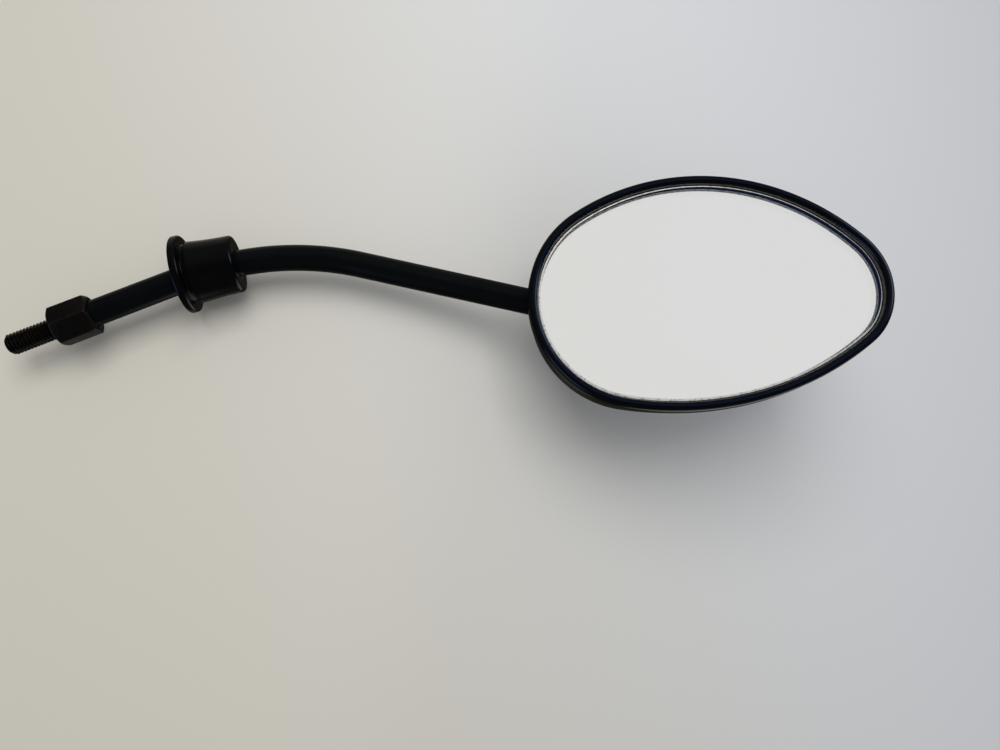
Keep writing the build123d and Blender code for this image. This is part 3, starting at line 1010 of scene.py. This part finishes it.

# %% [markdown]
# ## Backdrop
# A black part wants a pale ground that takes its soft shadow. The part stands upright in its own
# frame, so the ground is a large sheet close behind it. A flat sheet would be in the way when the
# head spins, so it is a sweep, as in a studio: flat behind the boot, then bent gently away towards the
# head. Seen from behind it lets the view and the light through. The floor lies out of the main
# camera's view, is there for the other views and fades out away from the part.

# %% Pale laminate
# The sheet's colour drifts from WARM_PALE at the boot to a cooler, slightly lighter COOL_PALE towards
# the head; that drift is painted light, standing for uneven light from the room.
WARM_PALE = "cbc8be"
COOL_PALE = "d8dade"
COOL_START = -20 * MM
COOL_END = 330 * MM
FADE_START = 350 * MM
FADE_END = 700 * MM


def pale_laminate(name, fades):
    """Laminate, a little cooler and lighter towards the head as painted light, with a clear back or
    fading ends.
    """
    material, tree, place = new_material(name)
    painted_light_toward_nose = add_node(
        tree,
        "ShaderNodeMapRange",
        {
            "Value": add_node(tree, "ShaderNodeSeparateXYZ", {0: place}).outputs["Z"],
            "From Min": COOL_START,
            "From Max": COOL_END,
        },
        interpolation_type="SMOOTHSTEP",
    )
    colour = add_node(
        tree,
        "ShaderNodeMix",
        {FACTOR: painted_light_toward_nose.outputs[0], COLOUR_A: linear(WARM_PALE), COLOUR_B: linear(COOL_PALE)},
        data_type="RGBA",
    )
    pale = add_node(
        tree, "ShaderNodeBsdfPrincipled", {"Base Color": colour.outputs[MIXED], "Roughness": 0.6}
    )
    gone = add_node(tree, "ShaderNodeBsdfTransparent")
    hidden = add_node(tree, "ShaderNodeNewGeometry").outputs["Backfacing"]
    if fades:
        away = add_node(tree, "ShaderNodeVectorMath", {0: place}, operation="LENGTH")
        hidden = add_node(
            tree,
            "ShaderNodeMapRange",
            {"Value": away.outputs["Value"], "From Min": FADE_START, "From Max": FADE_END},
            interpolation_type="SMOOTHSTEP",
        ).outputs[0]
    shader = add_node(tree, "ShaderNodeMixShader", {0: hidden, 1: pale.outputs[0], 2: gone.outputs[0]})
    close_material(tree, shader)
    return material


pale_top = pale_laminate("pale_laminate", False)
pale_floor = pale_laminate("pale_laminate_floor", True)
print(pale_top.name, pale_floor.name)

# %% Sweep and floor
SWEEP_NEAR = 15.3 * MM
SWEEP_START = 40 * MM
SWEEP_BEND = 70 * MM
SWEEP_SLOPE = 0.343
SWEEP_STEPS = 24
SWEEP_HALF = 3.0
FLOOR_LEVEL = -115 * MM


def sweep_depth(height):
    """How far behind the part the sweep lies, this far up along the stem from the boot."""
    bent = min(max(height - SWEEP_START, 0), SWEEP_BEND)
    straight = max(height - SWEEP_START - SWEEP_BEND, 0)
    return SWEEP_NEAR + SWEEP_SLOPE * (bent**2 / (2 * SWEEP_BEND) + straight)


def stage_sheet(name, rows, material):
    """A sheet between rows of two points each, out of reflections and casting no shadow."""
    mesh = bpy.data.meshes.new(name)
    faces = [(2 * i, 2 * i + 1, 2 * i + 3, 2 * i + 2) for i in range(len(rows) - 1)]
    mesh.from_pydata([point for row in rows for point in row], [], faces)
    mesh.materials.append(material)
    mesh.shade_smooth()
    sheet = bpy.data.objects.new(name, mesh)
    bpy.context.scene.collection.objects.link(sheet)
    sheet.visible_glossy = False
    sheet.visible_shadow = False
    return sheet


sideways = Vector((stem_direction.z, 0, -stem_direction.x)) * SWEEP_HALF
heights = [SWEEP_START + SWEEP_BEND * step / SWEEP_STEPS for step in range(SWEEP_STEPS + 1)]
sweep_rows = []
for height in [-SWEEP_HALF, *heights, SWEEP_HALF]:
    middle = boot_spot + stem_direction * height + Vector((0, sweep_depth(height), 0))
    sweep_rows.append((middle - sideways, middle + sideways))
stage_sheet("sweep", sweep_rows, pale_top)

floor_rows = [
    [Vector((x, y, FLOOR_LEVEL)) for x in (-SWEEP_HALF, SWEEP_HALF)] for y in (-SWEEP_HALF, SWEEP_HALF)
]
floor = stage_sheet("floor", floor_rows, pale_floor)
floor.visible_diffuse = False
print("sweep and floor in place")

# %% [markdown]
# ## Light
# Soft light comes from beyond the top of the picture, so the shadows fall towards its bottom. One
# large lamp plays that window. The world plays the room, and it shows each kind of ray what it needs:
# an even grey that fills the shadows, a pale ceiling in the glass, a pale backdrop past the sheets,
# and a dark room for the black surfaces. Black gloss is only seen by what it mirrors, so the dark room
# has patches of its own: grey towards the window, dim behind the part, bluish where the sky comes in,
# and nearly black behind the camera. Each patch is a colour, its strength, the way it lies, and two
# cosines, where it starts to show and where it is full.

# %% Window lamp
LAMP_AIM = Vector((80, 40, 150)) * MM
LAMP_ANGLE = math.radians(15)
LAMP_RISE = 0.1
LAMP_DISTANCE = 0.85
LAMP_SIZE = 0.6
LAMP_POWER = 4.7
LAMP_COLOUR = "fffdf8"

to_lamp = Vector((-math.sin(LAMP_ANGLE), -math.cos(LAMP_ANGLE), LAMP_RISE)).normalized()
lamp_data = bpy.data.lights.new("window", "AREA")
lamp_data.size = LAMP_SIZE
lamp_data.energy = LAMP_POWER
lamp_data.color = linear(LAMP_COLOUR)[:3]
lamp = bpy.data.objects.new("window", lamp_data)
lamp.location = LAMP_AIM + to_lamp * LAMP_DISTANCE
lamp.rotation_euler = to_lamp.to_track_quat("Z", "Y").to_euler()
lamp.visible_glossy = False
lamp.visible_transmission = False
bpy.context.scene.collection.objects.link(lamp)
print("window lamp at", [round(v, 2) for v in lamp.location])

# %% World as a room
AMBIENT = "b4b5b7"
CEILING = "ededec"
SHADOWED_ROOM = "2b2c2e"
SEEN_BACKDROP = "d9d9d8"
ROOM_PATCHES = [
    ("4a4c50", 1, (-0.6, -0.55, 0.55), 0.45, 0.95),
    ("34322e", 1, (0.0, 0.95, -0.2), 0.35, 0.9),
    ("6c6a65", 1, (-0.9, 0.35, 0.05), 0.75, 0.95),
    ("9a948a", 1, (-0.72, 0.68, 0.05), 0.93, 0.98),
    ("605e55", 1, (0.14, 0.92, -0.37), 0.968, 0.99),
    ("a4a6a8", 2, (0.75, 0.6, 0.3), 0.8, 0.97),
    ("c8d0dc", 2, (-0.05, -0.5, 0.86), 0.94, 0.985),
    ("3a62b0", 1, (-0.12, -0.85, 0.52), 0.93, 0.985),
    ("8fb0ee", 1, (0.28, -0.24, -0.9), 0.9, 0.98),
    ("151617", 1, (0.36, -0.93, 0.05), 0.86, 0.98),
]
world = bpy.data.worlds.new("room")
world.use_nodes = True
world.cycles.sampling_method = "NONE"
bpy.context.scene.world = world
tree = world.node_tree
tree.nodes.clear()
direction = add_node(tree, "ShaderNodeTexCoord").outputs["Generated"]
room = linear(SHADOWED_ROOM)
for code, strength, toward, edge_far, edge_near in ROOM_PATCHES:
    closeness = add_node(
        tree,
        "ShaderNodeVectorMath",
        {0: direction, 1: Vector(toward).normalized()},
        operation="DOT_PRODUCT",
    )
    share = add_node(
        tree,
        "ShaderNodeMapRange",
        {"Value": closeness.outputs["Value"], "From Min": edge_far, "From Max": edge_near},
        interpolation_type="SMOOTHSTEP",
    )
    glow = [strength * part for part in linear(code)]
    room = add_node(
        tree,
        "ShaderNodeMix",
        {FACTOR: share.outputs[0], COLOUR_A: room, COLOUR_B: glow},
        data_type="RGBA",
    ).outputs[MIXED]
rays = add_node(tree, "ShaderNodeLightPath").outputs
shown = linear(AMBIENT)
for ray, colour in (
    ("Is Glossy Ray", room),
    ("Is Transmission Ray", linear(CEILING)),
    ("Is Camera Ray", linear(SEEN_BACKDROP)),
):
    shown = add_node(
        tree,
        "ShaderNodeMix",
        {FACTOR: rays[ray], COLOUR_A: shown, COLOUR_B: colour},
        data_type="RGBA",
    ).outputs[MIXED]
background = add_node(tree, "ShaderNodeBackground", {"Color": shown, "Strength": 1.0})
add_node(tree, "ShaderNodeOutputWorld", {"Surface": background.outputs[0]})
print(len(ROOM_PATCHES), "patches in the room")
